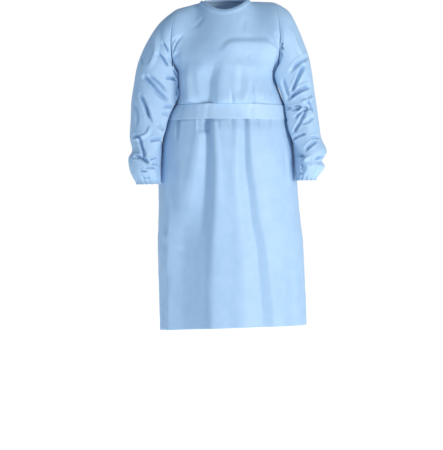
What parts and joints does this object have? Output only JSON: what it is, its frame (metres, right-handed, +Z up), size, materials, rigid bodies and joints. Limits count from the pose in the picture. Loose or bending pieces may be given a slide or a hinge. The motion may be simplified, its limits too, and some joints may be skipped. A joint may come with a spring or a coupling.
{
  "type": "worn procedure gown",
  "caption": "Hollow long-sleeved back-closing procedure gown in worn form, with elastic cuffs, bound neck and tied belt.",
  "frame": {"origin": "middle of the neck opening, level with the shoulder seams where the wearer's shoulders carry the gown", "axes": "+Z up along the gown's length, the front faces -Y, +X towards the wearer's left"},
  "size_m": [0.6635, 0.3654, 1.1124],
  "materials": {
    "nonwoven_cloth": "bonded nonwoven, soft sheen",
    "cuff_cloth": "bonded nonwoven, gathered on elastic",
    "binding_cloth": "bonded nonwoven, folded tape",
    "belt_cloth": "bonded nonwoven, folded flat"
  },
  "bodies": {
    "root": {"front_panel": "nonwoven_cloth", "back_panel_left": "nonwoven_cloth", "back_panel_right": "nonwoven_cloth", "sleeve_right": "nonwoven_cloth", "sleeve_left": "nonwoven_cloth", "cuff_right": "cuff_cloth", "cuff_left": "cuff_cloth", "neck_binding": "binding_cloth", "belt_band": "belt_cloth", "belt_knot": "belt_cloth", "belt_tail_right": "belt_cloth", "belt_tail_left": "belt_cloth"}
  },
  "joints": []
}
